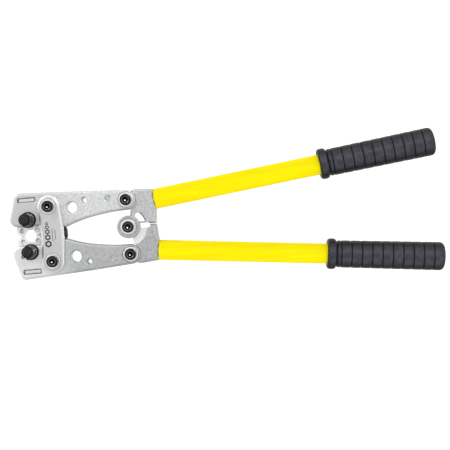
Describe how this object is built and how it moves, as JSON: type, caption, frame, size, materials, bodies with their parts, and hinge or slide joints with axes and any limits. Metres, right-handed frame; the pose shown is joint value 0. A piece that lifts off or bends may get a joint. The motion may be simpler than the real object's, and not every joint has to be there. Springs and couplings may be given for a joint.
{
  "type": "hex crimping tool",
  "caption": "Two-handed toggle crimping tool with indexing hexagonal die wheels, yellow tube handles and ribbed black grips, closed.",
  "frame": {"origin": "centre of the closed crimp cavity, halfway through the tool's thickness", "axes": "+X along the tool's axis to the grips, +Y to the upper jaw's side, +Z out of the front face, where the springs are"},
  "size_m": [0.3908, 0.1306, 0.0481],
  "materials": {
    "jaw_steel": "blasted casting",
    "head_steel": "blasted casting",
    "link_steel": "satin",
    "die_steel": "sintered",
    "bright_steel": "zinc plated",
    "black_oxide": "black oxide",
    "yellow_paint": "gloss enamel",
    "grip_rubber": "satin"
  },
  "bodies": {
    "link_frame": {"link_plate_front": "link_steel", "link_plate_back": "link_steel", "link_spacer": "black_oxide", "link_bolts": "black_oxide", "link_washers_front": "bright_steel", "link_washers_back": "bright_steel", "link_nuts": "black_oxide"},
    "upper_jaw_body": {"upper_jaw": "jaw_steel", "upper_thrust_key": "bright_steel", "upper_plug_screw": "head_steel", "upper_locating_pins": "bright_steel", "upper_spring_seat": "black_oxide", "upper_die_spring": "black_oxide", "upper_rear_bolt": "black_oxide", "upper_rear_washer_front": "bright_steel", "upper_rear_washer_back": "bright_steel", "upper_rear_nut": "black_oxide"},
    "lower_jaw_body": {"lower_jaw": "jaw_steel", "lower_thrust_key": "bright_steel", "lower_plug_screw": "head_steel", "lower_locating_pins": "bright_steel", "lower_spring_seat": "black_oxide", "lower_die_spring": "black_oxide", "lower_rear_bolt": "black_oxide", "lower_rear_washer_front": "bright_steel", "lower_rear_washer_back": "bright_steel", "lower_rear_nut": "black_oxide"},
    "upper_handle": {"upper_handle_head": "head_steel", "upper_handle_tube": "yellow_paint", "upper_handle_grip": "grip_rubber", "centre_bolt": "black_oxide", "centre_washer_front": "bright_steel", "centre_washer_back": "bright_steel", "centre_nut": "black_oxide"},
    "lower_handle": {"lower_handle_head": "head_steel", "lower_handle_tube": "yellow_paint", "lower_handle_grip": "grip_rubber"},
    "upper_die": {"upper_die_wheel": "die_steel", "upper_die_axle": "black_oxide", "upper_die_circlip": "black_oxide", "upper_spring_collar": "black_oxide"},
    "lower_die": {"lower_die_wheel": "die_steel", "lower_die_axle": "black_oxide", "lower_die_circlip": "black_oxide", "lower_spring_collar": "black_oxide"}
  },
  "joints": [
    {"name": "upper_jaw_hinge", "type": "hinge", "parent": "link_frame", "child": "upper_jaw_body", "pos_m": [0.0202, 0.02475, 0], "axis": [0, 0, -1], "range_deg": [0, 6]},
    {"name": "lower_jaw_hinge", "type": "hinge", "parent": "link_frame", "child": "lower_jaw_body", "pos_m": [0.0202, -0.02475, 0], "axis": [0, 0, 1], "range_deg": [0, 6]},
    {"name": "upper_handle_hinge", "type": "hinge", "parent": "upper_jaw_body", "child": "upper_handle", "pos_m": [0.0896, 0.02475, 0], "axis": [0, 0, 1], "range_deg": [0, 50.99]},
    {"name": "lower_handle_hinge", "type": "hinge", "parent": "lower_jaw_body", "child": "lower_handle", "pos_m": [0.0896, -0.02475, 0], "axis": [0, 0, -1], "range_deg": [0, 51.02]},
    {"name": "upper_die_slide", "type": "slide", "parent": "upper_jaw_body", "child": "upper_die", "axis": [0, 0, -1], "range_m": [0, 0.0039], "stiffness_N_per_m": 1500, "springref_m": -0.004, "deforming": ["upper_die_spring"]},
    {"name": "lower_die_slide", "type": "slide", "parent": "lower_jaw_body", "child": "lower_die", "axis": [0, 0, -1], "range_m": [0, 0.0039], "stiffness_N_per_m": 1500, "springref_m": -0.004, "deforming": ["lower_die_spring"]}
  ],
  "couplings": [
    {"joint": "lower_handle_hinge", "follows": "upper_handle_hinge", "ratio": 1},
    {"joint": "upper_jaw_hinge", "follows": "upper_handle_hinge", "ratio": 0.11757},
    {"joint": "lower_jaw_hinge", "follows": "upper_handle_hinge", "ratio": 0.11757}
  ]
}
